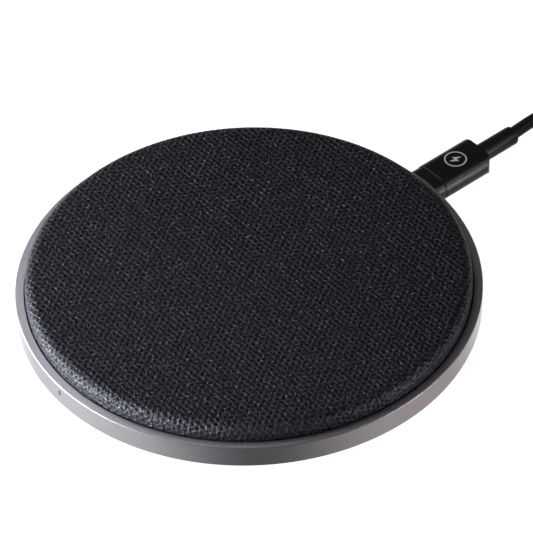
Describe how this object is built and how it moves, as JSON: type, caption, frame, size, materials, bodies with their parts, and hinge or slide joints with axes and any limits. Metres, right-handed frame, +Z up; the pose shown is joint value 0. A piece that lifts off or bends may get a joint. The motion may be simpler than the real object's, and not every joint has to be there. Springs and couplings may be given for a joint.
{
  "type": "wireless charging pad",
  "caption": "Round flat wireless charging pad: satin metal ring, cloth-grained cushioned top, detachable low-voltage cable with its spare length coiled and tied.",
  "frame": {"origin": "middle of the pad's footprint, on the surface it stands on", "axes": "+Z up through the pad's axis, +Y out of the cable inlet, -Y towards the status light"},
  "size_m": [0.1093, 0.177, 0.0101],
  "materials": {
    "ring_aluminium": "bead-blasted satin, polished edge",
    "cover_cloth_grain": "black leatherette with a plain-weave grain",
    "foam": "open-cell foam",
    "casing_plastic": "fine texture",
    "carrier_plastic": "plain",
    "foot_silicone": "matt",
    "copper_wire": "enamelled copper",
    "ferrite": "matt sintered",
    "coil_tape": "adhesive film",
    "board_laminate": "solder mask",
    "chip_black": "moulded",
    "ceramic": "sintered ceramic with tinned ends",
    "steel": "bright",
    "socket_plastic": "moulded",
    "light_window": "smoked clear plastic",
    "plug_black": "satin moulded",
    "cable_jacket": "satin jacket",
    "strap": "hook and loop strap",
    "far_plug_white": "contact block"
  },
  "bodies": {
    "pad": {"aluminium_ring": "ring_aluminium", "base_plate": "casing_plastic", "foot_ring": "foot_silicone", "carrier_tray": "carrier_plastic", "foam_disc": "foam", "top_cover": "cover_cloth_grain", "ferrite_disc": "ferrite", "charging_coil": "copper_wire", "coil_leads": "copper_wire", "coil_tape": "coil_tape", "thermistor": "chip_black", "circuit_board": "board_laminate", "control_chip": "chip_black", "bridge_chips": "chip_black", "resonant_capacitors": "ceramic", "input_capacitors": "ceramic", "small_passives": "ceramic", "power_inductor": "ferrite", "clock_crystal": "steel", "status_light": "light_window", "light_pipe": "light_window", "board_screws": "steel", "case_screws": "steel", "socket_shell": "steel", "socket_core": "socket_plastic"},
    "lead": {"plug_tube": "steel", "plug_core": "socket_plastic", "plug_collar": "plug_black", "plug_housing": "plug_black", "strain_relief": "cable_jacket", "cable_lead": "cable_jacket", "cable_coil": "cable_jacket", "cable_tie": "strap", "cable_tail": "cable_jacket", "far_strain_relief": "cable_jacket", "far_plug_housing": "plug_black", "far_plug_tube": "steel", "far_plug_core": "far_plug_white"}
  },
  "joints": [
    {"name": "plug_pull", "type": "slide", "parent": "pad", "child": "lead", "axis": [0, 1, 0], "range_m": [0, 0.01]}
  ]
}
